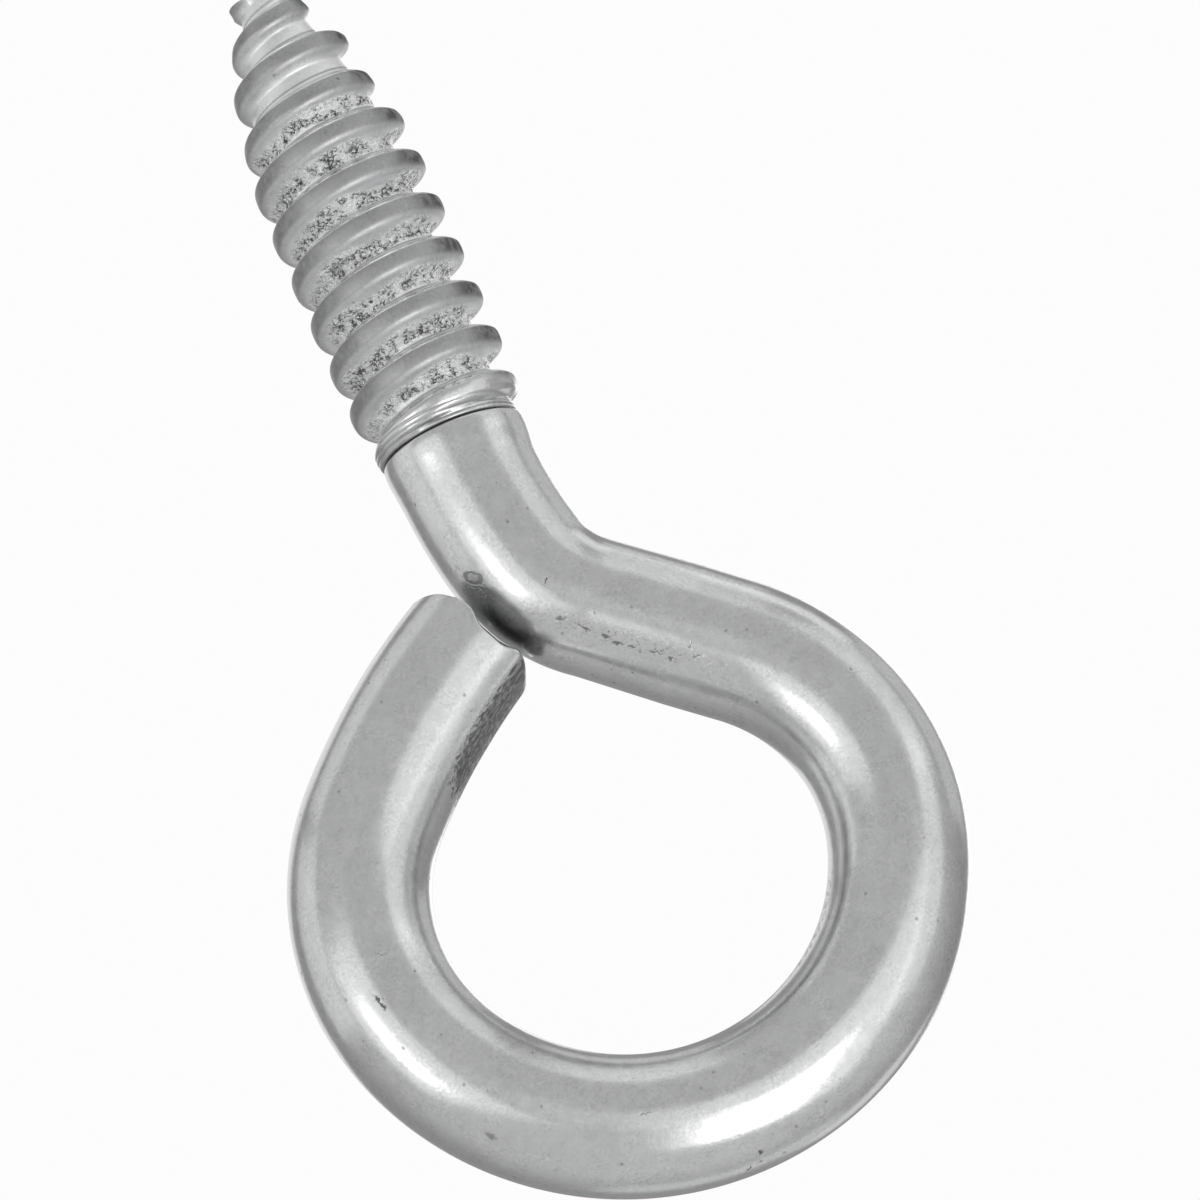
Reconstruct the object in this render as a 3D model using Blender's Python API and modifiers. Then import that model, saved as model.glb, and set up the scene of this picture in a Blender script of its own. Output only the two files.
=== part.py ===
"""Screw eye: one zinc-plated steel wire with a wood-screw thread and a nearly closed, centred eye.

The origin is on the shank's axis, where the thread meets the plain shank. +Z runs along the shank
to the point, the eye hangs below in the XZ plane, and +X is the side that the wire bends to first.
"""

import math

import bmesh
import bpy
from mathutils import Vector

MM = 0.001

# The wire, from the thread's shoulder to the free end of the eye (millimetres and degrees).
STRAIGHT_LENGTH = 1.3        # plain shank below the thread
NECK_BENDS = ((26.0, 14.2), (7.4, 35.8))       # radius and angle, bending away to +X
OFFSET_LENGTH = 8.6          # straight stretch from the neck to the eye
EYE_BENDS = ((12.5, 65.8), (15.0, 144.4), (12.7, 62.6), (39.0, 17.4))    # and back, to the free end
# Distance along the wire and its radius: it swells next to the thread, varies a little round the
# bends, and is narrowest at the free end.
WIRE_OUTLINE = ((0.0, 4.14), (0.7, 4.18), (2.3, 4.02), (7.7, 4.02), (12.8, 3.86), (18.0, 3.95),
                (30.0, 3.86), (48.0, 3.92), (78.0, 3.96), (94.0, 3.93), (99.0, 3.82))
NOMINAL_RADIUS = 4.0         # the curve's bevel depth; each point's radius is set as a share of it
SHOULDER_ROUND = 0.2         # edge round where the thread begins
END_ROUND = 0.7              # edge round of the free end
EDGE_STEPS = 3               # faces along an edge round
EDGE_CLEARANCE = 0.3         # no other point of the path this close to an edge round
PATH_STEP = 1.4              # longest distance between two points of the path
PATH_TURN = 6.0              # largest turn between two points of the path
BEVEL_RESOLUTION = 8         # 4 + 2 x 8 = 20 sides round the wire

# The thread: a right-hand wood-screw thread with a tapered point that is cut off blunt.
PITCH = 2.77
CREST_AT_X = 1.83            # height of a crest on the +X side, just above the shoulder
TURNS = 10.4
RIB_START_TURN = -1.15       # where the rib starts, inside the shank, in turns from that crest
STEPS_PER_TURN = 20
TIP_Z = 28.0
CORE_DEPTH = 0.9             # how far the core reaches into the shank
RIB_INNER_DEPTH = 0.35       # how far the rib reaches into the core
# The rib's section: offset along Z and height as a share of the full height. It is rounded on both
# sides, and the flank that faces the eye is a little steeper than the one that faces the point.
RIB_SECTION = ((-1.24, -1.0), (-0.64, 0.71), (-0.36, 0.95), (0.04, 1.01), (0.38, 0.965), (0.76, 0.68),
               (1.28, -1.0))
# Height above the shoulder and radius, for the bottom of the thread and for its crests.
ROOT_OUTLINE = ((-0.5, 3.80), (0.7, 3.80), (2.0, 3.52), (17.0, 3.50), (20.3, 3.40), (23.0, 2.75),
                (26.2, 1.75), (27.9, 1.20))
CREST_OUTLINE = ((-0.4, 3.70), (0.1, 4.25), (1.6, 4.52), (3.1, 4.67), (6.0, 4.73), (15.5, 4.72), (18.4, 4.60),
                 (21.3, 3.86), (24.0, 3.50), (24.9, 2.95), (26.8, 2.14), (28.6, 1.70))
FULL_RIB_HEIGHT = 1.2        # a lower rib is narrower
NARROWEST_RIB = 0.5          # share of the full width where the rib has no height
TRIM_SIZE = 12.0             # block that cuts the rib off at the point

WELD_DISTANCE = 1e-6         # metres
SHARP_ANGLE = 40.0           # degrees; shallower edges are shaded smooth


def clear_scene():
    for item in list(bpy.data.objects):
        bpy.data.objects.remove(item, do_unlink=True)


def new_collection(name):
    collection = bpy.data.collections.new(name)
    bpy.context.scene.collection.children.link(collection)
    return collection


def zinc_material():
    material = bpy.data.materials.new("zinc_plated_steel")
    material.use_nodes = True
    shader = material.node_tree.nodes["Principled BSDF"]
    shader.inputs["Base Color"].default_value = (0.62, 0.63, 0.64, 1.0)
    shader.inputs["Metallic"].default_value = 1.0
    shader.inputs["Roughness"].default_value = 0.3
    return material


def interpolate(outline, place):
    """The radius at a place along an outline, constant past its ends."""
    if place <= outline[0][0]:
        return outline[0][1]
    for (low, r_low), (high, r_high) in zip(outline, outline[1:]):
        if place <= high:
            share = (place - low) / (high - low)
            return r_low + share * (r_high - r_low)
    return outline[-1][1]


def wire_stretches():
    """The wire's stretches as length and turn per millimetre, in radians; a left turn is positive."""
    stretches = [(STRAIGHT_LENGTH, 0.0)]
    for radius, angle in NECK_BENDS:
        stretches.append((radius * math.radians(angle), 1.0 / radius))
    stretches.append((OFFSET_LENGTH, 0.0))
    for radius, angle in EYE_BENDS:
        stretches.append((radius * math.radians(angle), -1.0 / radius))
    return stretches


def point_on_wire(distance):
    """The x and z of the wire's centre line, at a distance from the shoulder."""
    x, z = 0.0, 0.0
    heading = math.radians(-90.0)
    for length, turn in wire_stretches():
        run = min(length, distance)
        if turn == 0.0:
            x += run * math.cos(heading)
            z += run * math.sin(heading)
        else:
            x += (math.sin(heading + turn * run) - math.sin(heading)) / turn
            z -= (math.cos(heading + turn * run) - math.cos(heading)) / turn
            heading += turn * run
        distance -= run
        if distance <= 0.0:
            break
    return x, z


def wire_distances():
    """Distances of the path's points: close enough together in length and in turn."""
    distances = [0.0]
    start = 0.0
    for length, turn in wire_stretches():
        by_turn = math.degrees(abs(turn) * length) / PATH_TURN
        count = math.ceil(max(length / PATH_STEP, by_turn))
        for index in range(1, count + 1):
            distances.append(start + length * index / count)
        start += length
    return distances


def round_end(distances, radii, edge, at_end):
    """Replace the points nearest one end by a quarter-round edge."""
    total = distances[-1]
    if at_end:
        kept = [(d, r) for d, r in zip(distances, radii) if d < total - edge - EDGE_CLEARANCE]
    else:
        kept = [(d, r) for d, r in zip(distances, radii) if d > edge + EDGE_CLEARANCE]
    full = radii[-1] if at_end else radii[0]
    arc = []
    for index in range(EDGE_STEPS + 1):
        angle = math.radians(90.0 * index / EDGE_STEPS)
        inset = edge * (1.0 - math.sin(angle))
        radius = full - edge * (1.0 - math.cos(angle))
        arc.append((total - inset if at_end else inset, radius))
    points = kept + arc if at_end else arc[::-1] + kept
    return [p[0] for p in points], [p[1] for p in points]


def wire_curve():
    distances = wire_distances()
    radii = [interpolate(WIRE_OUTLINE, d) for d in distances]
    distances, radii = round_end(distances, radii, SHOULDER_ROUND, False)
    distances, radii = round_end(distances, radii, END_ROUND, True)
    curve = bpy.data.curves.new("wire_path", "CURVE")
    curve.dimensions = "3D"
    curve.bevel_depth = NOMINAL_RADIUS * MM
    curve.bevel_resolution = BEVEL_RESOLUTION
    curve.use_fill_caps = True
    spline = curve.splines.new("POLY")
    spline.points.add(len(distances) - 1)
    for point, distance, radius in zip(spline.points, distances, radii):
        x, z = point_on_wire(distance)
        point.co = (x * MM, 0.0, z * MM, 1.0)
        point.radius = radius / NOMINAL_RADIUS
    return bpy.data.objects.new("wire_path", curve)


def curve_to_mesh(curve_object, name, collection):
    """A welded mesh object in the curve's place."""
    collection.objects.link(curve_object)
    graph = bpy.context.evaluated_depsgraph_get()
    mesh = bpy.data.meshes.new_from_object(curve_object.evaluated_get(graph))
    work = bmesh.new()
    work.from_mesh(mesh)
    bmesh.ops.remove_doubles(work, verts=work.verts, dist=WELD_DISTANCE)
    bmesh.ops.recalc_face_normals(work, faces=work.faces)
    work.to_mesh(mesh)
    work.free()
    mesh.name = name
    result = bpy.data.objects.new(name, mesh)
    result.matrix_world = curve_object.matrix_world
    collection.objects.link(result)
    bpy.data.objects.remove(curve_object, do_unlink=True)
    return result


def as_tool(tool):
    tool.hide_render = True
    tool.display_type = "WIRE"


def thread_core(collection):
    """The solid core under the thread, turned from its outline."""
    outline = [(z, r) for z, r in reversed(ROOT_OUTLINE)]
    top = outline[0]
    bottom = outline[-1]
    profile = [(0.0, top[0])] + [(r, z) for z, r in outline]
    profile += [(bottom[1], bottom[0] - CORE_DEPTH), (0.0, bottom[0] - CORE_DEPTH)]
    mesh = bpy.data.meshes.new("thread_core")
    points = [(r * MM, 0.0, z * MM) for r, z in profile]
    edges = [(i, i + 1) for i in range(len(points) - 1)]
    mesh.from_pydata(points, edges, [])
    core = bpy.data.objects.new("thread_core", mesh)
    collection.objects.link(core)
    screw = core.modifiers.new("turn", "SCREW")
    screw.axis = "Z"
    screw.angle = math.radians(360.0)
    screw.steps = STEPS_PER_TURN
    screw.render_steps = STEPS_PER_TURN
    screw.use_merge_vertices = True
    screw.merge_threshold = WELD_DISTANCE
    as_tool(core)
    return core


def rib_height(height):
    """How far the rib stands out of the core at a height, never less than flush."""
    return max(interpolate(CREST_OUTLINE, height) - interpolate(ROOT_OUTLINE, height), 0.0)


def rib_point(share, offset, turn):
    """A point of the rib: its share of the rib's height, its offset along Z, and its turn."""
    centre = CREST_AT_X + PITCH * turn
    fullness = min(rib_height(centre) / FULL_RIB_HEIGHT, 1.0)
    width = NARROWEST_RIB + (1.0 - NARROWEST_RIB) * fullness
    height = centre + offset * width
    radius = interpolate(ROOT_OUTLINE, height)
    radius += share * (RIB_INNER_DEPTH if share < 0.0 else rib_height(height))
    angle = math.radians(360.0 * turn)
    return Vector((radius * math.cos(angle), radius * math.sin(angle), height)) * MM


def thread_rib(collection):
    """The helical rib: its section swept up the helix, then fitted between root and crest."""
    work = bmesh.new()
    corner_layer = work.verts.layers.int.new("corner")
    corners = [work.verts.new((1.0, 0.0, offset * MM)) for offset, share in RIB_SECTION]
    for index, corner in enumerate(corners):
        corner[corner_layer] = index
    loop = [work.edges.new(pair) for pair in zip(corners, corners[1:] + corners[:1])]
    steps = round(TURNS * STEPS_PER_TURN)
    bmesh.ops.spin(
        work,
        geom=corners + loop,
        cent=(0.0, 0.0, 0.0),
        axis=(0.0, 0.0, 1.0),
        dvec=(0.0, 0.0, PITCH * MM / STEPS_PER_TURN),
        angle=math.radians(360.0 * steps / STEPS_PER_TURN),
        steps=steps,
    )
    open_edges = [edge for edge in work.edges if edge.is_boundary]
    bmesh.ops.holes_fill(work, edges=open_edges)
    for vertex in work.verts:
        offset, share = RIB_SECTION[vertex[corner_layer]]
        turn = RIB_START_TURN + (vertex.co.z / MM - offset) / PITCH
        vertex.co = rib_point(share, offset, turn)
    bmesh.ops.recalc_face_normals(work, faces=work.faces)
    if work.calc_volume(signed=True) < 0.0:
        bmesh.ops.reverse_faces(work, faces=work.faces)
    mesh = bpy.data.meshes.new("thread_rib")
    work.to_mesh(mesh)
    work.free()
    rib = bpy.data.objects.new("thread_rib", mesh)
    collection.objects.link(rib)
    as_tool(rib)
    return rib


def tip_trim(collection):
    """A block that cuts the rib off at the blunt point."""
    size = TRIM_SIZE * MM
    mesh = bpy.data.meshes.new("tip_trim")
    work = bmesh.new()
    bmesh.ops.create_cube(work, size=size)
    work.to_mesh(mesh)
    work.free()
    trim = bpy.data.objects.new("tip_trim", mesh)
    trim.location = (0.0, 0.0, TIP_Z * MM + size / 2.0)
    collection.objects.link(trim)
    as_tool(trim)
    return trim


def add_boolean(target, tool, operation):
    boolean = target.modifiers.new(tool.name, "BOOLEAN")
    boolean.operation = operation
    boolean.solver = "EXACT"
    boolean.object = tool


def build():
    clear_scene()
    parts = new_collection("screw_eye")
    tools = new_collection("cutters")
    screw_eye = curve_to_mesh(wire_curve(), "screw_eye", parts)
    screw_eye.data.materials.clear()
    screw_eye.data.materials.append(zinc_material())
    rib = thread_rib(tools)
    add_boolean(rib, tip_trim(tools), "DIFFERENCE")
    add_boolean(screw_eye, thread_core(tools), "UNION")
    add_boolean(screw_eye, rib, "UNION")
    screw_eye.data.shade_smooth()
    screw_eye.data.set_sharp_from_angle(angle=math.radians(SHARP_ANGLE))


build()
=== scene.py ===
import math

import bpy
import numpy as np
from mathutils import Matrix, Vector, noise


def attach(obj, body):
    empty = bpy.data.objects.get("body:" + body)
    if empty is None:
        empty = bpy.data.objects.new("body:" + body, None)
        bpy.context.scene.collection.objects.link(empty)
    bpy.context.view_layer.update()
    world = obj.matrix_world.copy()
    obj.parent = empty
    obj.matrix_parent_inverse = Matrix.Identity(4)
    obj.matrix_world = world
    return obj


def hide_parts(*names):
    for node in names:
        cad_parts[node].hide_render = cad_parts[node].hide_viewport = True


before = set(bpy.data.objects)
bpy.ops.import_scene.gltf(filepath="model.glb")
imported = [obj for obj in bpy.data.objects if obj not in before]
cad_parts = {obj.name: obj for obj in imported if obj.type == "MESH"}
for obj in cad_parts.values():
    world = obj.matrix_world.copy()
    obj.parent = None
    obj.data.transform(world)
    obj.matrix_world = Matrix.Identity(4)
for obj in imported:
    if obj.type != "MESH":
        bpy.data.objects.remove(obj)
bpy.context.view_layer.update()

# Lengths are in millimetres and angles in degrees, except in the studio, which is in metres. The
# angle round the wire is 0 on the shank's +X side and on the outside of the eye, and 270 in front.
MM = 0.001

# The wire's centre line, as in the CAD part: length, or radius and angle of each bend.
STRAIGHT_LENGTH = 1.3
NECK_BENDS = ((26.0, 14.2), (7.4, 35.8))
OFFSET_LENGTH = 8.6
EYE_BENDS = ((12.5, 65.8), (15.0, 144.4), (12.7, 62.6), (39.0, 17.4))
WIRE_LENGTH = STRAIGHT_LENGTH + OFFSET_LENGTH + sum(
    radius * math.radians(angle) for radius, angle in NECK_BENDS + EYE_BENDS)
# Distance along the wire and its radius.
WIRE_OUTLINE = ((0.0, 4.14), (0.7, 4.18), (2.3, 4.02), (7.7, 4.02), (12.8, 3.86), (18.0, 3.95),
                (30.0, 3.86), (48.0, 3.92), (78.0, 3.96), (94.0, 3.93), (99.0, 3.85))
MIDDLE_RADIUS = 3.95         # the radius that the texture's arc length is measured at

# The thread: on the CAD part's helix, with more detail at the shoulder and in the ridge's section.
PITCH = 2.77
CREST_AT_X = 1.83            # height of a crest on the +X side
TIP_Z = 28.0
# Height above the shoulder and radius, for the thread's root and for its crests.
ROOT_OUTLINE = ((-0.5, 4.00), (0.5, 3.96), (1.1, 3.80), (2.0, 3.52), (17.0, 3.50), (20.3, 3.40),
                (23.0, 2.75), (26.2, 1.75), (27.9, 1.20))
CREST_OUTLINE = ((-0.4, 4.00), (0.1, 4.22), (1.6, 4.52), (3.1, 4.67), (6.0, 4.73), (15.5, 4.72),
                 (18.4, 4.60), (21.3, 3.86), (24.0, 3.50), (24.9, 2.95), (26.8, 2.14), (28.6, 1.70))
# The ridge's section: offset along Z and share of its height. It is rounded all over, steepest at
# its foot on the point's side, and fullest towards the point.
RIDGE_SECTION = (
    (-1.26, 0.05), (-1.14, 0.05), (-1.04, 0.11), (-0.94, 0.25), (-0.84, 0.43), (-0.74, 0.60),
    (-0.64, 0.74), (-0.54, 0.85), (-0.44, 0.925), (-0.34, 0.965), (-0.22, 0.985), (-0.06, 0.995),
    (0.12, 1.00), (0.26, 0.995), (0.40, 0.98), (0.50, 0.945), (0.60, 0.865), (0.72, 0.735),
    (0.84, 0.58), (0.96, 0.39), (1.04, 0.24), (1.10, 0.11), (1.16, 0.04), (1.22, 0.05))
SECTION_SAMPLES = 554        # points of the section's table
SECTION_BLUR = 0.035         # rounds the section's corners
BLUR_REACH = 24              # points that the rounding takes in on either side
ROOT_EXTRA_DEPTH = 0.1       # the root lies a little under the CAD's between ridges
FULL_RIDGE = 1.2             # a lower ridge is narrower
NARROWEST_RIDGE = 0.46       # share of the full width where the ridge has no height
# Fine rings left at the shoulder by the thread rolling: height, depth and half width.
RUN_OUT_RINGS = ((0.06, 0.26, 0.09), (0.42, 0.07, 0.06), (0.66, 0.05, 0.05), (0.98, 0.05, 0.06))

# The mesh is a grid of rows along the wire and points round it.
AROUND = 144
THREAD_STEP = 0.078
SHOULDER_STEP = 0.035
SHOULDER_TOP = 1.3           # height up to which the thread's rows are a shoulder step apart
LOWEST_ROW = 0.03            # the thread's rows stop above this height
WIRE_STEP = 0.42
FINE_STEP = 0.17
FINE_STRETCH = (10.5, 21.5)  # where the bending tool has marked the wire
TIP_ROUND = 0.35             # height of the blunt point's rounded edge
TIP_SHRINK = 0.28            # share of the radius that the rounding takes off
TIP_STEPS = 5
# The plain shank's rounded upper edge: distance along the wire and how far the edge is set in.
SHOULDER_EDGE = ((0.0, 0.13), (0.03, 0.07), (0.08, 0.02), (0.16, 0.0))
SHOULDER_PLACE = 0.22        # where the shoulder edge's radius is taken from
END_MARGIN = 1.5             # the wire's rows stop this far before the free end
END_STEPS = 9                # rows over the free end's rounded edge
FACE_SHARES = (0.88, 0.7, 0.5, 0.3, 0.12)        # rings on the free end's face
# Offsets where the ridge's section turns most, so that the mesh is finer there: offset, extra
# density and half width.
SHARP_PLACES = ((-1.05, 1.0, 0.12), (-0.42, 1.2, 0.20), (0.52, 1.6, 0.18), (1.10, 2.8, 0.09))
GATHER_SAMPLES = 800
SHARP_ANGLE = 50.0           # shallower edges are shaded smooth
# How far the texture runs on over the free end's edge and its face, and into both end caps.
EDGE_TEXTURE, FACE_TEXTURE = 1.4, 3.5
POINT_CAP_TEXTURE, FREE_CAP_TEXTURE = 1.0, 3.0

# The sheared free end.
EDGE_ROUND = 0.14            # rounding of its edge
INNER_SET_BACK = 1.30        # wider rounding on the inside of the eye: along the wire
INNER_SET_IN = 1.15          # and in from its side
OUTER_SLOPE = 0.95           # how far the edge lies back on the outside of the bend
BITE = (250.0, 22.0)         # a bite out of the front edge: angle and half width
BITE_DEPTH = 0.60
BURR = (290.0, 9.0)          # a ragged burr beside the bite: angle and half width
BURR_HEIGHT = 0.12
BURR_RIPPLES = 31.0          # across a full turn
BURR_FROM = 0.3              # step over the edge from which the burr gets the painted highlight
FACE_HOLLOW = 0.03           # unevenness of the face
FACE_WAVE = 0.035

# Spans of the thread: start, fade in, end, fade out. Heights first, then offsets across the ridge.
GATHERED_SPAN = (2.0, 2.0, 25.5, 3.0)
TORN_SPAN = (1.9, 0.6, 21.6, 1.2)
CREST_SPAN = (-0.52, 0.18, 0.56, 0.08)
CREST_SIDE_SHADE_SPAN = (-0.50, 0.3, 0.62, 0.2)
# Fades of the thread's masks: place and length.
FORMED_FADE = (1.4, 0.8)
TORN_BELOW, TORN_ABOVE = (-0.70, 0.18), (1.14, 0.14)
VALLEY_BELOW, VALLEY_ABOVE = (-0.36, 0.46), (0.66, 0.2)
# Lines along the ridge: offset and half width. The first carries a painted highlight, the second
# painted shade.
LIP_HIGHLIGHT_LINE, CREASE_SHADE_LINE = (0.60, 0.06), (1.10, 0.06)
FULL_GROOVE_SHADE = 0.2            # depth from which a run-out ring's painted shade is full
# Waves of the torn stretch's ragged edge: size, waves round the thread, turn per height, start.
RAGGED_WAVES = ((0.09, 3.0, 1.9, 0.0), (0.07, 7.0, -3.1, 1.0))
TORN_RELIEF = 0.075
TORN_GRAIN = 0.42            # size of the torn relief's grain
TORN_FRACTAL = (0.9, 2.1, 3.0)       # dimension, lacunarity and octaves
TORN_SEED = 3.0
LEAST_FROM_AXIS = 0.5        # the relief is no larger a share of the radius nearer the axis

# Worn places: distance and half length, angle round the wire and half width, strength.
PITTED = ((15.6, 4.9, 235.0, 8.0, 1.0), (8.0, 1.4, 212.0, 9.0, 0.6))
SCUFFED = ((95.2, 6.2, 190.0, 29.0, 1.0), (43.0, 7.0, 196.0, 12.0, 0.40))
WORN_END = WIRE_LENGTH - 0.7                     # where the free end's edge is taken to lie
# Stretches of the thread's crest darkened with painted shade: angle round the wire and half width,
# strength.
CREST_SIDE_SHADE = ((338.0, 27.0, 1.0), (211.0, 20.0, 0.40))
# The print of a tool on the neck, a shallow ring: as the small marks below.
IMPRINT = (7.7, 218.0, 0.66, 0.34, 44.0, 0.62)
# Small dark marks: distance, angle round the wire, half length, half width, tilt, strength.
MARKS = (
    (10.3, 258.0, 0.26, 0.05, 108.0, 0.85), (75.1, 286.0, 0.55, 0.09, 3.0, 0.90),
    (66.9, 317.0, 0.40, 0.17, 0.0, 0.50), (59.5, 277.0, 0.32, 0.07, 0.0, 0.45),
    (54.5, 334.0, 0.22, 0.12, 60.0, 0.80), (55.1, 348.0, 0.28, 0.09, 60.0, 0.70),
    (77.5, 268.0, 0.32, 0.07, 40.0, 0.45), (6.6, 270.0, 0.11, 0.10, 0.0, 0.60),
    (4.1, 265.0, 0.10, 0.09, 0.0, 0.50), (4.3, 279.0, 0.09, 0.08, 0.0, 0.50),
    (11.7, 236.0, 0.32, 0.12, 20.0, 0.70), (12.9, 234.0, 0.48, 0.08, -15.0, 0.70),
    (14.1, 233.0, 0.32, 0.11, 0.0, 0.75), (14.8, 230.0, 0.38, 0.12, 10.0, 0.75),
    (15.6, 231.0, 0.26, 0.09, 0.0, 0.65), (17.0, 232.0, 0.55, 0.08, 5.0, 0.65),
    (17.9, 231.0, 0.22, 0.14, 0.0, 0.70), (18.7, 246.0, 0.34, 0.10, 70.0, 0.55),
    (19.2, 239.0, 0.32, 0.10, 30.0, 0.60),
)
MARK_DEPTH = 0.8             # how far a mark reaches through the surface


def along(outline, places):
    return np.interp(places, [p[0] for p in outline], [p[1] for p in outline])


def rise(value, start, length):
    """0 up to start, then up to 1 over a length."""
    return np.clip((value - start) / length, 0.0, 1.0)


def fall(value, end, length):
    """1 until a length before the end, then down to 0 at the end."""
    return np.clip((end - value) / length, 0.0, 1.0)


def span(value, start, fade_in, end, fade_out):
    return rise(value, start, fade_in) * fall(value, end, fade_out)


def line(value, place, half_width):
    return np.exp(-((value - place) / half_width) ** 2)


def turned_from(angle, middle):
    """Angle from a middle, between -180 and 180."""
    return (angle - middle + 180.0) % 360.0 - 180.0


def centre_line(distance):
    """x, z and heading of the wire's centre line. Negative distances run up the thread."""
    if distance <= 0.0:
        return 0.0, -distance, math.radians(-90.0)
    stretches = [(STRAIGHT_LENGTH, 0.0)]
    stretches += [(radius * math.radians(angle), 1.0 / radius) for radius, angle in NECK_BENDS]
    stretches.append((OFFSET_LENGTH, 0.0))
    stretches += [(radius * math.radians(angle), -1.0 / radius) for radius, angle in EYE_BENDS]
    x, z, heading = 0.0, 0.0, math.radians(-90.0)
    for length, turn in stretches:
        run = min(length, distance)
        if turn == 0.0:
            x += run * math.cos(heading)
            z += run * math.sin(heading)
        else:
            x += (math.sin(heading + turn * run) - math.sin(heading)) / turn
            z -= (math.cos(heading + turn * run) - math.cos(heading)) / turn
            heading += turn * run
        distance -= run
        if distance <= 0.0:
            break
    return x, z, heading


def on_wire(distance, angle, radius):
    """A point on the wire, its outward normal and the wire's direction there."""
    x, z, heading = centre_line(distance)
    turn = math.radians(angle)
    side = Vector((-math.sin(heading), 0.0, math.cos(heading)))
    normal = side * math.cos(turn) + Vector((0.0, 1.0, 0.0)) * math.sin(turn)
    direction = Vector((math.cos(heading), 0.0, math.sin(heading)))
    return Vector((x, 0.0, z)) + normal * radius, normal, direction


def ridge_offset(z, angle):
    """Distance along Z from the nearest turn of the ridge; positive is towards the point."""
    turn = (z - CREST_AT_X) / PITCH - angle / 360.0
    return (turn - np.round(turn)) * PITCH


def gather_rows(z, angle):
    """Heights moved along the thread so that more of them fall where the ridge's section turns."""
    fine = np.linspace(-PITCH / 2.0, PITCH / 2.0, GATHER_SAMPLES)
    density = 1.0 + sum(extra * line(fine, place, width) for place, extra, width in SHARP_PLACES)
    reached = np.concatenate([[0.0], np.cumsum((density[1:] + density[:-1]) / 2.0)])
    reached = (reached / reached[-1] - 0.5) * PITCH
    offset = ridge_offset(z, angle)
    return z + span(z, *GATHERED_SPAN) * (np.interp(offset, reached, fine) - offset)


def crinkle(points, size, seed):
    """Torn-metal relief between -1 and 1 at points in millimetres."""
    shift = Vector((seed, seed * 1.7, seed * 0.6))
    values = [noise.multi_fractal(Vector(p) / size + shift, *TORN_FRACTAL,
                                  noise_basis="PERLIN_ORIGINAL") - 1.0 for p in points]
    return np.clip(np.array(values), -1.0, 1.0)


def rounded_section():
    """The ridge's section over one pitch, as offsets and shares, with its corners rounded."""
    fine = np.linspace(-PITCH / 2.0, PITCH / 2.0, SECTION_SAMPLES)
    shares = np.interp(fine, [p[0] for p in RIDGE_SECTION], [p[1] for p in RIDGE_SECTION],
                       period=PITCH)
    reach = np.arange(-BLUR_REACH, BLUR_REACH + 1) * (fine[1] - fine[0])
    weights = np.exp(-0.5 * (reach / SECTION_BLUR) ** 2)
    around = np.concatenate([shares[-BLUR_REACH - 1:-1], shares, shares[1:BLUR_REACH + 1]])
    return fine, np.convolve(around, weights / weights.sum(), "valid")


SECTION_OFFSETS, SECTION_SHARES = rounded_section()


def thread_radius(z, angle):
    """Radius of the thread at a height and an angle, before the torn relief."""
    root = along(ROOT_OUTLINE, z)
    crest = along(CREST_OUTLINE, z)
    fullness = np.clip((crest - root) / FULL_RIDGE, 0.0, 1.0)
    width = NARROWEST_RIDGE + (1.0 - NARROWEST_RIDGE) * fullness
    share = np.interp(ridge_offset(z, angle) / width, SECTION_OFFSETS, SECTION_SHARES)
    floor_radius = root - ROOT_EXTRA_DEPTH * fullness
    return floor_radius + (np.maximum(crest, floor_radius) - floor_radius) * share


def ring_grooves(z):
    """How far the fine rings cut into the thread's run-out at height z."""
    return sum(depth * line(z, height, width) for height, depth, width in RUN_OUT_RINGS)


def torn_mask(z, angle):
    """1 where the root was torn in rolling, 0 on ridges, near the point and at the shoulder."""
    offset = ridge_offset(z, angle)
    radians = np.radians(angle)
    ragged = sum(size * np.sin(waves * radians + turn * z + start)
                 for size, waves, turn, start in RAGGED_WAVES)
    between = fall(offset - ragged, *TORN_BELOW) + rise(offset + ragged, *TORN_ABOVE)
    return between * span(z, *TORN_SPAN)


def ridge_masks(z, angle):
    """Masks by name: the ridge's crest, a painted highlight line along its edge on the point's side,
    painted shade at its foot behind that edge, the valley between two turns, and painted shade
    on two sides of the crest."""
    offset = ridge_offset(z, angle)
    formed = rise(z, *FORMED_FADE)
    # Painted shade on two sides of the crest, at fixed angles round the thread.
    crest_side_shade = sum(weight * np.exp(-(turned_from(angle, middle) / half_width) ** 4)
                  for middle, half_width, weight in CREST_SIDE_SHADE)
    return {
        "crest": span(offset, *CREST_SPAN) * formed,
        "lip_highlight": line(offset, *LIP_HIGHLIGHT_LINE) * formed,
        # Painted shade at the ridge's foot on the point's side.
        "crease_shade": line(offset, *CREASE_SHADE_LINE) * formed,
        "valley": (fall(offset, *VALLEY_BELOW) + rise(offset, *VALLEY_ABOVE)) * formed,
        "crest_side_shade": crest_side_shade * span(offset, *CREST_SIDE_SHADE_SPAN) * formed,
    }


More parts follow.
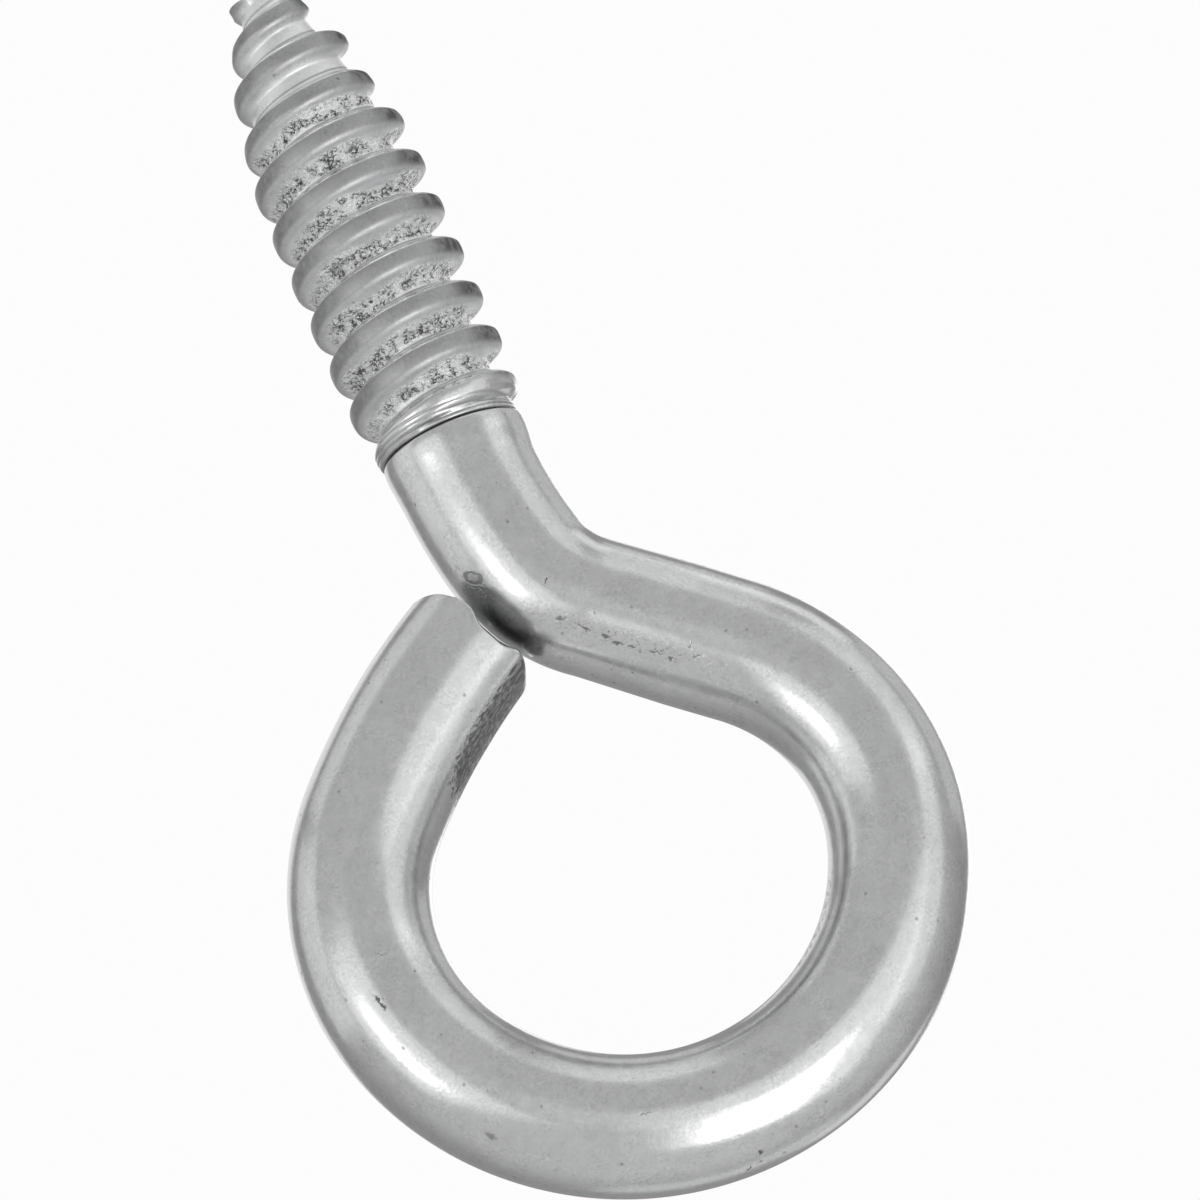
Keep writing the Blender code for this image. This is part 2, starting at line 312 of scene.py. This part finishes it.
def ring_rows():
    """Rows of the mesh from the point to the free end: distance along the wire (on the free end, a
    step from 0 to 1 over its edge), share of the radius (at the shoulder, what is added to it) and
    kind."""
    rows = []
    for step in range(1, TIP_STEPS + 1):
        turn = math.radians(90.0 * step / TIP_STEPS)
        rows.append((-TIP_Z + TIP_ROUND * (1.0 - math.sin(turn)), 1.0 - TIP_SHRINK * math.cos(turn),
                     "thread"))
    z = TIP_Z - TIP_ROUND - THREAD_STEP
    while z > LOWEST_ROW:
        rows.append((-z, 1.0, "thread"))
        z -= THREAD_STEP if z > SHOULDER_TOP else SHOULDER_STEP
    rows += [(distance, -set_in, "shoulder") for distance, set_in in SHOULDER_EDGE]
    distance = WIRE_STEP
    while distance < WIRE_LENGTH - END_MARGIN:
        rows.append((distance, 1.0, "wire"))
        fine = FINE_STRETCH[0] < distance < FINE_STRETCH[1]
        distance += FINE_STEP if fine else WIRE_STEP
    rows += [(step / END_STEPS, 1.0, "end") for step in range(END_STEPS + 1)]
    rows += [(1.0, share, "face") for share in FACE_SHARES]
    return rows


def end_edge(angle, step):
    """The rounding of the sheared end's edge, at a step from 0 on the wire to 1 on the face: how
    far it is set back along the wire, and in from its side. It is widest inside the eye."""
    inside = np.clip(-np.cos(np.radians(angle)), 0.0, 1.0) ** 7
    turn = math.radians(90.0 * step)
    set_back = (EDGE_ROUND + INNER_SET_BACK * inside) * (1.0 - math.sin(turn))
    set_in = (EDGE_ROUND + INNER_SET_IN * inside) * (1.0 - max(math.cos(turn), 0.0))
    return set_back, set_in


def burr(angle):
    """Height of the ragged burr that the shear left on the end's front edge, from 0 to 1."""
    middle, half_width = BURR
    ripple = 0.55 + 0.45 * np.sin(np.radians(angle * BURR_RIPPLES))
    return np.exp(-((angle - middle) / half_width) ** 4) * ripple


def edge_slope(angle):
    """How far the end's edge lies behind the middle of its face: the shear rolled the outside of
    the bend over, broke a bite out of the front and left a burr beside the bite."""
    outside = np.clip(np.cos(np.radians(angle)), 0.0, 1.0) ** 4
    middle, half_width = BITE
    bite = np.exp(-((angle - middle) / half_width) ** 4)
    return OUTER_SLOPE * outside + BITE_DEPTH * bite - BURR_HEIGHT * burr(angle)


def worn_values(places, distance, angles):
    """How worn the wire is round one ring, from a list of worn places."""
    values = np.zeros(len(angles), np.float32)
    for centre, half_length, middle, half_width, strength in places:
        turn = turned_from(angles, middle)
        fade = np.exp(-((distance - centre) / half_length) ** 4 - (turn / half_width) ** 4)
        values = np.maximum(values, strength * fade)
    return values


def ring_of(place, share, kind, angles):
    """Distances along the wire and radii round one row of the mesh."""
    if kind in ("end", "face"):
        set_back, set_in = end_edge(angles, place)
        distances = WIRE_LENGTH - edge_slope(angles) - set_back
        radius = (along(WIRE_OUTLINE, distances) - set_in) * share
        if kind == "face":
            radians = np.radians(angles)
            wave = np.cos(radians * 2.0 + 5.0 * share) * share
            wave += 0.6 * np.cos(radians * 5.0 - 9.0 * share)
            distances = distances - FACE_HOLLOW - FACE_WAVE * wave * share
            distances = distances + edge_slope(angles) * (1.0 - share ** 3)
        return distances, radius
    distances = np.full(AROUND, place)
    if kind == "thread":
        distances = -gather_rows(-distances, angles)
        return distances, thread_radius(-distances, angles) * share - ring_grooves(-distances)
    if kind == "shoulder":
        return distances, np.full(AROUND, along(WIRE_OUTLINE, SHOULDER_PLACE)) + share
    return distances, along(WIRE_OUTLINE, distances) * share


def grid_faces(grid, vertices):
    """Faces of the closed grid. The middle point of each end is added to the vertices."""
    count = len(grid)
    faces = []
    for row in range(count - 1):
        for column in range(AROUND):
            after = (column + 1) % AROUND
            faces.append((row * AROUND + column, row * AROUND + after,
                          (row + 1) * AROUND + after, (row + 1) * AROUND + column))
    for row, flipped in ((0, True), (count - 1, False)):
        middle = len(vertices)
        vertices.append(tuple(grid[row].mean(axis=0) * MM))
        for column in range(AROUND):
            face = (row * AROUND + column, row * AROUND + (column + 1) % AROUND, middle)
            faces.append(face[::-1] if flipped else face)
    return faces


def add_values(mesh, name, grid):
    """A value for each point of the grid, and 0 on the two middle points."""
    values = np.zeros(len(mesh.vertices), np.float32)
    values[: grid.size] = grid.ravel()
    mesh.attributes.new(name, "FLOAT", "POINT").data.foreach_set("value", values)


def add_masks(mesh, rows, thread_masks, angles):
    """The masks that the material reads."""
    shape = (len(rows), AROUND)
    is_thread = np.array([kind == "thread" for _, _, kind in rows])
    for name, values in thread_masks.items():
        whole = np.zeros(shape, np.float32)
        whole[is_thread] = values
        # The free end's burr gets the same painted highlight line.
        if name == "lip_highlight":
            whole += np.array([burr(angles) * (kind == "end" and place > BURR_FROM)
                               for place, _, kind in rows], np.float32)
        add_values(mesh, name, whole)
    for name, worn in (("pitted", PITTED), ("scuffed", SCUFFED)):
        whole = np.zeros(shape, np.float32)
        for row, (place, _, kind) in enumerate(rows):
            if kind in ("wire", "end"):
                whole[row] = worn_values(worn, WORN_END if kind == "end" else place, angles)
        add_values(mesh, name, whole)
    sheared = np.zeros(shape, np.float32)
    sheared[[kind == "face" for _, _, kind in rows]] = 1.0
    add_values(mesh, "sheared", sheared)


def add_texture_map(mesh, rows, radians):
    """Distance along the wire and arc length round it, in millimetres."""
    layer = mesh.uv_layers.new(name="along_wire")
    row_place = np.array([
        WIRE_LENGTH - EDGE_TEXTURE + place * EDGE_TEXTURE + (1.0 - share) * FACE_TEXTURE
        if kind in ("end", "face") else place for place, share, kind in rows])
    middles = [row_place[0] - POINT_CAP_TEXTURE, row_place[-1] + FREE_CAP_TEXTURE]
    u = np.concatenate([np.repeat(row_place, AROUND), middles])
    v = np.concatenate([np.tile(radians * MIDDLE_RADIUS, len(rows)), [0.0, 0.0]])
    loops = np.empty(len(mesh.loops), np.int32)
    mesh.loops.foreach_get("vertex_index", loops)
    uv = np.stack([u[loops], v[loops]], 1).astype(np.float32)
    starts = np.empty(len(mesh.polygons), np.int32)
    totals = np.empty(len(mesh.polygons), np.int32)
    mesh.polygons.foreach_get("loop_start", starts)
    mesh.polygons.foreach_get("loop_total", totals)
    circumference = 2.0 * math.pi * MIDDLE_RADIUS
    for start, total in zip(starts, totals):
        # A face over the seam is carried on past the full turn.
        part = uv[start:start + total, 1]
        if part.max() - part.min() > circumference / 2.0:
            part[part < circumference / 2.0] += circumference
    layer.data.foreach_set("uv", uv.ravel())


def build_screw_eye():
    angles = np.arange(AROUND) * 360.0 / AROUND
    radians = np.radians(angles)
    rows, points = ring_rows(), []
    for place, share, kind in rows:
        ring = []
        for angle, distance, r in zip(radians, *ring_of(place, share, kind, angles)):
            x, z, heading = centre_line(float(distance))
            out = math.cos(angle) * r
            ring.append((x - math.sin(heading) * out, math.sin(angle) * r,
                         z + math.cos(heading) * out))
        points.append(ring)
    grid = np.array(points)

    is_thread = np.array([kind == "thread" for _, _, kind in rows])
    z = grid[is_thread][:, :, 2]
    angle_grid = np.broadcast_to(angles, z.shape)
    torn = torn_mask(z, angle_grid)
    moved = grid[is_thread].copy()
    relief = crinkle([tuple(p) for p in moved.reshape(-1, 3)], TORN_GRAIN, TORN_SEED)
    from_axis = np.maximum(np.linalg.norm(moved[:, :, :2], axis=2), LEAST_FROM_AXIS)
    scale = 1.0 + torn * relief.reshape(z.shape) * TORN_RELIEF / from_axis
    moved[:, :, :2] *= scale[:, :, None]
    grid[is_thread] = moved

    vertices = [tuple(p * MM) for p in grid.reshape(-1, 3)]
    faces = grid_faces(grid, vertices)
    mesh = bpy.data.meshes.new("eye_wire")
    mesh.from_pydata(vertices, [], faces)
    # Painted shade in the run-out rings, growing with how deep they cut.
    groove_shade = np.clip(ring_grooves(z) / FULL_GROOVE_SHADE, 0.0, 1.0)
    thread_masks = {"torn": torn, "groove_shade": groove_shade, **ridge_masks(z, angle_grid)}
    add_masks(mesh, rows, thread_masks, angles)
    add_texture_map(mesh, rows, radians)

    mesh.update()
    mesh.shade_smooth()
    mesh.set_sharp_from_angle(angle=math.radians(SHARP_ANGLE))
    piece = bpy.data.objects.new("eye_wire", mesh)
    bpy.context.scene.collection.objects.link(piece)
    return piece


class Nodes:
    """Short calls for building a material's node tree."""

    def __init__(self, tree):
        self.tree = tree

    def put(self, socket, value):
        if isinstance(value, bpy.types.NodeSocket):
            self.tree.links.new(value, socket)
        else:
            socket.default_value = value

    def node(self, kind, inputs=(), **settings):
        node = self.tree.nodes.new(kind)
        for name, value in settings.items():
            setattr(node, name, value)
        for name, value in dict(inputs).items():
            self.put(node.inputs[name], value)
        return node

    def add(self, kind, inputs=(), out=0, **settings):
        return self.node(kind, inputs, **settings).outputs[out]

    def math(self, operation, first, second=None, clamp=False):
        inputs = {0: first} if second is None else {0: first, 1: second}
        return self.add("ShaderNodeMath", inputs, operation=operation, use_clamp=clamp)

    def plus(self, first, second, clamp=False):
        return self.math("ADD", first, second, clamp)

    def minus(self, first, second, clamp=False):
        return self.math("SUBTRACT", first, second, clamp)

    def times(self, first, second, clamp=False):
        return self.math("MULTIPLY", first, second, clamp)

    def larger(self, first, second):
        return self.math("MAXIMUM", first, second)

    def vector(self, operation, first, second=None, out=0):
        inputs = {0: first} if second is None else {0: first, 1: second}
        return self.add("ShaderNodeVectorMath", inputs, out=out, operation=operation)

    def dot(self, first, second):
        return self.vector("DOT_PRODUCT", first, second, out=1)

    def scaled(self, vector, scale):
        return self.add("ShaderNodeVectorMath", {0: vector, "Scale": scale}, operation="SCALE")

    def ramp(self, value, low, high, to_low=0.0, to_high=1.0, smooth=True):
        return self.add("ShaderNodeMapRange",
                        {"Value": value, "From Min": low, "From Max": high,
                         "To Min": to_low, "To Max": to_high},
                        interpolation_type="SMOOTHSTEP" if smooth else "LINEAR")

    def relief(self, value):
        """A noise between -1 and 1."""
        return self.ramp(value, 0.2, 0.8, -1.0, 1.0, False)

    def noise(self, vector, scale, detail=3.0, roughness=0.55, distortion=0.0):
        return self.add("ShaderNodeTexNoise", {"Vector": vector, "Scale": scale, "Detail": detail,
                                               "Roughness": roughness, "Distortion": distortion})

    def wander(self, vector, scale):
        """A noise vector with parts between -0.5 and 0.5."""
        shift = self.add("ShaderNodeTexNoise", {"Vector": vector, "Scale": scale, "Detail": 3.0},
                         out=1)
        return self.vector("SUBTRACT", shift, (0.5, 0.5, 0.5))

    def attribute(self, name):
        return self.add("ShaderNodeAttribute", out=2, attribute_name=name)


def mark_mask(nodes, position, mark, ring=False):
    """1 on one small mark and 0 away from it. A ring is dark at its rim and lighter inside."""
    distance, angle, half_length, half_width, tilt, strength = mark
    radius = float(along(WIRE_OUTLINE, distance))
    centre, normal, direction = on_wire(distance, angle, radius)
    turned = Matrix.Rotation(math.radians(tilt), 3, normal) @ direction
    from_centre = nodes.vector("SUBTRACT", position, tuple(centre))
    parts = {}
    for index, (way, size) in enumerate((
            (turned, half_length), (normal.cross(turned), half_width), (normal, MARK_DEPTH))):
        parts[index] = nodes.math("DIVIDE", nodes.dot(from_centre, tuple(way)), size)
    apart = nodes.vector("LENGTH", nodes.add("ShaderNodeCombineXYZ", parts), out=1)
    if ring:
        from_rim = nodes.math("ABSOLUTE", nodes.minus(apart, 0.85))
        rim = nodes.ramp(from_rim, 0.42, 0.12, 0.0, strength)
        return nodes.larger(rim, nodes.ramp(apart, 1.0, 0.8, 0.0, 0.45 * strength))
    return nodes.ramp(apart, 1.25, 0.5, 0.0, strength)


def torn_shaded_folds(nodes, position):
    """Painted shade in the torn root's net of fine fold lines, drawn out along the ridge, broken into
    patches.
    """
    bent = nodes.vector("MULTIPLY", nodes.wander(position, 2.6), (0.65, 0.65, 0.65))
    place = nodes.vector("MULTIPLY", nodes.vector("ADD", position, bent), (1.0, 1.0, 1.45))
    net = nodes.add("ShaderNodeTexVoronoi", {"Vector": place, "Scale": 3.0},
                    feature="DISTANCE_TO_EDGE")
    patches = nodes.ramp(nodes.noise(position, 1.5, 4.0, 0.65), 0.42, 0.53)
    return nodes.times(nodes.ramp(net, 0.16, 0.09), patches)


def pin_pits(nodes, position):
    """Small round pits in some cells of a Voronoi pattern."""
    cells = nodes.node("ShaderNodeTexVoronoi", {"Vector": position, "Scale": 0.95}).outputs
    spot = nodes.ramp(cells["Distance"], 0.14, 0.05)
    chosen = nodes.add("ShaderNodeSeparateColor", {0: cells["Color"]})
    return nodes.times(spot, nodes.math("GREATER_THAN", chosen, 0.62))


def scuff_streaks(nodes, along_wire, scuffed):
    """Dark streaks along the wire on scuffed places, with a ragged edge."""
    place = nodes.vector("MULTIPLY", along_wire, (2.0, 5.5, 1.0))
    streaks = nodes.noise(place, 1.0, 5.0, 0.7)
    ragged_edge = nodes.plus(scuffed, nodes.ramp(streaks, 0.2, 0.8, 0.45, -0.45, False))
    inner = nodes.ramp(streaks, 0.66, 0.40, 0.40, 1.0)
    scuffs = nodes.times(nodes.ramp(ragged_edge, 0.38, 0.60), inner)
    return nodes.times(scuffs, nodes.ramp(scuffed, 0.0, 0.4))


def small_marks(nodes, position):
    ragged = nodes.vector("ADD", position, nodes.scaled(nodes.wander(position, 4.5), 0.5))
    marks = mark_mask(nodes, ragged, IMPRINT, ring=True)
    for mark in MARKS:
        marks = nodes.larger(marks, mark_mask(nodes, ragged, mark))
    return marks


def zinc_material():
    """Bright zinc plating on drawn wire, torn in the thread's root and marked by the bending tool."""
    material = bpy.data.materials.new("zinc_plated_steel")
    material.use_nodes = True
    tree = material.node_tree
    tree.nodes.clear()
    nodes = Nodes(tree)
    position = nodes.scaled(nodes.add("ShaderNodeTexCoord", out=3), 1.0 / MM)
    along_wire = nodes.add("ShaderNodeUVMap", uv_map="along_wire")
    torn, crest, lip_highlight, crease_shade, valley, crest_side_shade, groove_shade, pitted, scuffed, sheared = (
        nodes.attribute(name) for name in ("torn", "crest", "lip_highlight", "crease_shade", "valley", "crest_side_shade",
                                           "groove_shade", "pitted", "scuffed", "sheared"))

    cloud = nodes.noise(position, 0.32, 4.0, 0.6)
    mottle = nodes.noise(position, 1.35, 5.0, 0.62)
    grain = nodes.noise(position, 5.5, 4.0, 0.65)
    drawn = nodes.noise(nodes.vector("MULTIPLY", along_wire, (0.22, 5.5, 1.0)), 1.0, 3.0, 0.6)
    wrinkle = nodes.noise(position, 2.6, 6.0, 0.72, 1.3)
    flake = nodes.noise(position, 5.2, 4.0, 0.7, 0.8)
    shaded_folds = nodes.times(torn_shaded_folds(nodes, position), torn)
    glints = nodes.times(nodes.ramp(flake, 0.49, 0.58), torn)
    pocks = nodes.times(nodes.ramp(flake, 0.46, 0.36), pitted)
    scuffs = scuff_streaks(nodes, along_wire, scuffed)
    side_shade_patches = nodes.ramp(nodes.noise(position, 1.3, 4.0, 0.6), 0.40, 0.58, 0.35, 0.75)

    # The metal's own shade: clouds, mottling and grain, then the thread's parts. The bright line
    # along the crest's edge on the point's side and over the burr is a painted highlight.
    shade = nodes.plus(nodes.ramp(cloud, 0.25, 0.75, -0.025, 0.025), 0.645)
    shade = nodes.plus(shade, nodes.ramp(mottle, 0.25, 0.75, -0.050, 0.040, False))
    grainy = nodes.ramp(nodes.noise(position, 0.75, 3.0, 0.6), 0.38, 0.62, 0.30, 1.35)
    grains = nodes.times(nodes.ramp(grain, 0.25, 0.75, -0.095, 0.075, False), grainy)
    shade = nodes.plus(shade, grains)
    shade = nodes.times(shade, nodes.minus(1.0, nodes.times(crest, 0.37)))
    shade = nodes.plus(shade, nodes.times(nodes.ramp(valley, 0.45, 1.0), 0.22))
    shade = nodes.plus(shade, nodes.times(torn, 0.26))
    # Painted highlight: a bright line along the crest's edge on the point's side and over the burr.
    shade = nodes.plus(shade, nodes.times(lip_highlight, 0.50))
    shade = nodes.plus(shade, nodes.times(nodes.ramp(wrinkle, 0.3, 0.7, -0.14, 0.26), torn))

    # Pits, scuffs, the sheared face and marks darken it, each by its own strength. The fold lines,
    # the run-out rings, the ridge's foot and two sides of the crest are darkened with painted shade.
    dark = nodes.times(pin_pits(nodes, position), 0.40)
    for mask, strength in ((pocks, 0.60), (scuffs, 0.84), (sheared, 0.55), (shaded_folds, 1.0),
                           (groove_shade, 0.95), (crease_shade, 0.60)):
        dark = nodes.larger(dark, nodes.times(mask, strength))
    # Painted shade on two sides of the crest, broken into patches.
    dark = nodes.larger(dark, nodes.times(side_shade_patches, crest_side_shade))
    dark = nodes.larger(dark, small_marks(nodes, position))
    shade = nodes.times(shade, nodes.minus(1.0, nodes.times(dark, 0.88), True))
    shade = nodes.plus(shade, nodes.times(glints, 0.60), clamp=True)
    colour = nodes.add("ShaderNodeCombineColor", {
        0: nodes.times(shade, 0.995), 1: shade, 2: nodes.times(shade, 1.005)})

    rough = nodes.plus(nodes.ramp(mottle, 0.2, 0.8, 0.17, 0.22),
                       nodes.ramp(drawn, 0.3, 0.7, -0.02, 0.03))
    rough = nodes.plus(rough, nodes.ramp(grain, 0.3, 0.7, 0.02, -0.015))
    rough = nodes.plus(rough, nodes.times(nodes.times(valley, 3.0, True), 0.22))
    rough = nodes.minus(rough, nodes.times(torn, 0.12))
    rough = nodes.minus(rough, nodes.times(glints, 0.20))
    rough = nodes.plus(rough, nodes.times(crest, 0.30))
    rough = nodes.minus(rough, nodes.times(lip_highlight, 0.12))
    rough = nodes.plus(rough, nodes.times(dark, 0.3), clamp=True)

    # Relief in millimetres.
    height = nodes.times(nodes.relief(mottle), 0.0022)
    height = nodes.plus(height, nodes.times(nodes.relief(drawn), 0.0009))
    height = nodes.plus(height, nodes.times(nodes.relief(grain), 0.0009))
    tear = nodes.times(nodes.relief(wrinkle), 0.045)
    tear = nodes.plus(tear, nodes.times(nodes.relief(flake), 0.032))
    height = nodes.plus(height, nodes.times(tear, torn))
    height = nodes.plus(height, nodes.times(nodes.times(tear, valley), 0.06))
    height = nodes.minus(height, nodes.times(dark, 0.018))
    height = nodes.minus(height, nodes.times(shaded_folds, 0.035))
    bump = nodes.add("ShaderNodeBump", {"Height": height, "Distance": MM, "Strength": 1.0})

    shader = nodes.add("ShaderNodeBsdfPrincipled", {
        "Base Color": colour, "Metallic": 1.0, "Roughness": rough, "Normal": bump})
    nodes.node("ShaderNodeOutputMaterial", {"Surface": shader})
    return material


# The camera looks up at the eye from below and in front, from far away. The studio is in metres.
REFERENCE = Vector((0.0, 0.0, -0.010))           # what the camera and the lights are set round
CAMERA_RIGHT = Vector((0.92384, -0.00167, -0.38277))
CAMERA_UP = Vector((0.36229, -0.31896, 0.87580))
CAMERA_FORWARD = Vector((0.12355, 0.94777, 0.29406))
CAMERA_DISTANCE = 1.250
FRAME_WIDTH = 65.61 * MM     # what the frame spans at the reference point
FRAME_MIDDLE = (4.206 * MM, 0.172 * MM)          # the frame's middle, right and up of that point
SENSOR = 36.0                # millimetres
CLIP_START, CLIP_END = 0.05, 100.0

# Softboxes: name, direction from the object (right, up, towards the camera), distance, width,
# height, radiance.
SOFTBOXES = (
    ("key_right", (0.45, -0.30, 0.84), 0.70, 0.30, 0.50, 1.6),
    ("key_right_halo", (0.53, -0.08, 0.84), 0.78, 0.74, 1.00, 0.45),
    ("key_left", (-0.67, -0.13, 0.73), 0.70, 0.20, 0.26, 1.5),
    ("key_left_halo", (-0.66, -0.04, 0.75), 0.78, 0.74, 0.60, 0.48),
    ("side_left", (-0.98, 0.0, -0.12), 0.85, 0.66, 0.70, 0.34),
    ("top", (0.0, 0.95, -0.32), 0.95, 1.20, 0.50, 0.38),
    ("top_left_far", (-0.36, 0.84, -0.42), 0.95, 0.32, 0.30, 0.75),
    ("top_right_far", (0.37, 0.83, -0.43), 0.95, 0.32, 0.30, 0.60),
    ("front", (0.0, 0.15, 0.99), 0.80, 0.26, 0.40, 0.12),
    ("top_left", (-0.72, 0.62, -0.32), 0.85, 0.50, 0.45, 0.34),
    ("top_right", (0.60, 0.78, 0.05), 0.85, 0.55, 0.50, 0.34),
    ("far_right", (0.68, 0.45, -0.58), 0.85, 0.50, 0.50, 0.30),
    ("side_right", (0.85, 0.34, 0.40), 0.85, 0.45, 0.80, 0.34),
    ("low_right", (0.52, -0.47, -0.71), 0.80, 0.30, 0.26, 0.50),
    ("low", (0.30, -0.82, -0.48), 0.80, 0.60, 0.26, 0.28),
    ("rear_key", (0.30, 0.10, -0.95), 0.75, 0.26, 0.40, 1.3),
    ("rear_halo", (-0.40, 0.05, -0.91), 0.80, 0.40, 0.60, 0.6),
)
WHITE = (1.0, 1.0, 1.0, 1.0)
BACKDROP_GLOW = 0.98         # what the camera sees behind the object
FLOOR_SIZE, FLOOR_HEIGHT = 50.0, -0.45
FLOOR_COLOUR, FLOOR_ROUGHNESS = (0.86, 0.86, 0.86, 1.0), 0.9


def make_camera():
    data = bpy.data.cameras.new("camera")
    data.sensor_width = SENSOR
    data.lens = SENSOR * CAMERA_DISTANCE / FRAME_WIDTH
    data.clip_start = CLIP_START
    data.clip_end = CLIP_END
    camera = bpy.data.objects.new("camera", data)
    bpy.context.scene.collection.objects.link(camera)
    turned = Matrix((CAMERA_RIGHT, CAMERA_UP, -CAMERA_FORWARD)).transposed()
    right, up = FRAME_MIDDLE
    place = (REFERENCE + CAMERA_RIGHT * right + CAMERA_UP * up
             - CAMERA_FORWARD * CAMERA_DISTANCE)
    camera.matrix_world = Matrix.Translation(place) @ turned.to_4x4()
    bpy.context.scene.camera = camera


def make_lights():
    for name, (right, up, near), distance, width, height, radiance in SOFTBOXES:
        data = bpy.data.lights.new(name, "AREA")
        data.shape = "RECTANGLE"
        data.size = width
        data.size_y = height
        data.energy = radiance * math.pi * width * height
        light = bpy.data.objects.new(name, data)
        light.visible_camera = False
        bpy.context.scene.collection.objects.link(light)
        way = (CAMERA_RIGHT * right + CAMERA_UP * up - CAMERA_FORWARD * near).normalized()
        facing = way.to_track_quat("Z", "Y").to_matrix().to_4x4()
        light.matrix_world = Matrix.Translation(REFERENCE + way * distance) @ facing


def make_world():
    """An even pale backdrop. Reflections see a tent of light that is darker at the back instead."""
    world = bpy.data.worlds.new("studio")
    bpy.context.scene.world = world
    world.use_nodes = True
    world.node_tree.nodes.clear()
    nodes = Nodes(world.node_tree)
    way = nodes.add("ShaderNodeTexCoord")
    front = nodes.dot(way, tuple(-CAMERA_FORWARD))
    below = nodes.dot(way, (0.0, 0.0, -1.0))
    glow = nodes.plus(nodes.ramp(front, -0.75, 0.35, 0.36, 0.60),
                      nodes.ramp(below, 0.1, 0.9, 0.0, 0.12))
    pale = nodes.add("ShaderNodeBackground", {"Color": WHITE, "Strength": BACKDROP_GLOW})
    tent = nodes.add("ShaderNodeBackground", {"Color": WHITE, "Strength": glow})
    reflected = nodes.node("ShaderNodeLightPath").outputs["Is Glossy Ray"]
    mix = nodes.add("ShaderNodeMixShader", {"Fac": reflected, 1: pale, 2: tent})
    nodes.node("ShaderNodeOutputWorld", {"Surface": mix})


def make_floor():
    mesh = bpy.data.meshes.new("floor")
    half = FLOOR_SIZE / 2.0
    mesh.from_pydata([(x, y, FLOOR_HEIGHT) for x, y in (
        (-half, -half), (half, -half), (half, half), (-half, half))], [], [(0, 1, 2, 3)])
    floor = bpy.data.objects.new("floor", mesh)
    bpy.context.scene.collection.objects.link(floor)
    material = bpy.data.materials.new("floor")
    material.use_nodes = True
    shader = material.node_tree.nodes["Principled BSDF"]
    shader.inputs["Base Color"].default_value = FLOOR_COLOUR
    shader.inputs["Roughness"].default_value = FLOOR_ROUGHNESS
    mesh.materials.append(material)
    floor.visible_glossy = False


piece = build_screw_eye()
piece.data.materials.append(zinc_material())
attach(piece, "root")
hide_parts("screw_eye")
make_camera()
make_lights()
make_world()
make_floor()
bpy.context.scene.view_settings.view_transform = "Standard"
